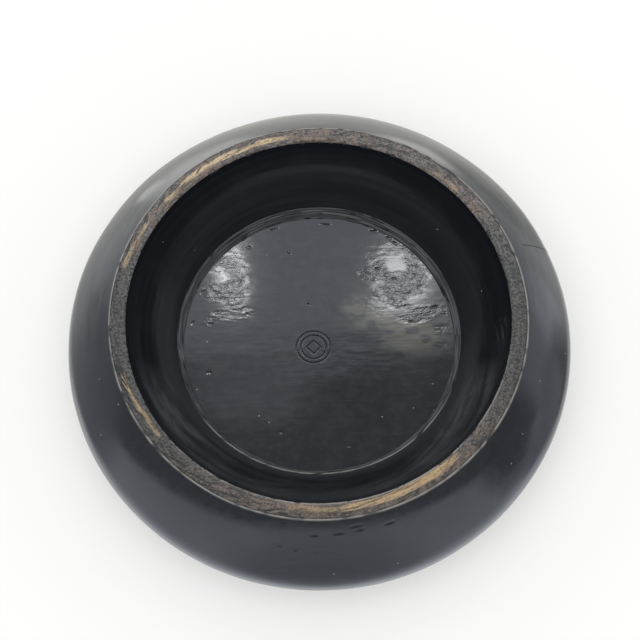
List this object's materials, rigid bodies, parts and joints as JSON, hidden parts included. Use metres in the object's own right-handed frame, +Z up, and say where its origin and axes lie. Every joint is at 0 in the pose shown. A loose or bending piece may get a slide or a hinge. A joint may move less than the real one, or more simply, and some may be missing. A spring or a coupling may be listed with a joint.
{
  "type": "go stone bowl",
  "caption": "Squat turned wooden bowl in black lacquer, with a wide worn rim, a shallow curved well, a sunken flat floor and a low foot ring.",
  "frame": {"origin": "centre of the foot ring's rest face, on the turning axis", "axes": "+Z up along the turning axis, out of the mouth; the viewer's side is -Y"},
  "size_m": [0.15, 0.15, 0.044],
  "materials": {
    "lacquer_outer": "glossy black lacquer with fine wear",
    "worn_rim": "matt wood where the lacquer has worn away",
    "lacquer_inner": "satin black lacquer with turning marks",
    "lacquer_floor": "uneven satin black lacquer over wood grain"
  },
  "bodies": {
    "root": {"belly": "lacquer_outer", "rim_ring": "worn_rim", "well_wall": "lacquer_inner", "floor_disc": "lacquer_floor", "base_board": "lacquer_outer", "foot_ring": "lacquer_outer"}
  },
  "joints": []
}
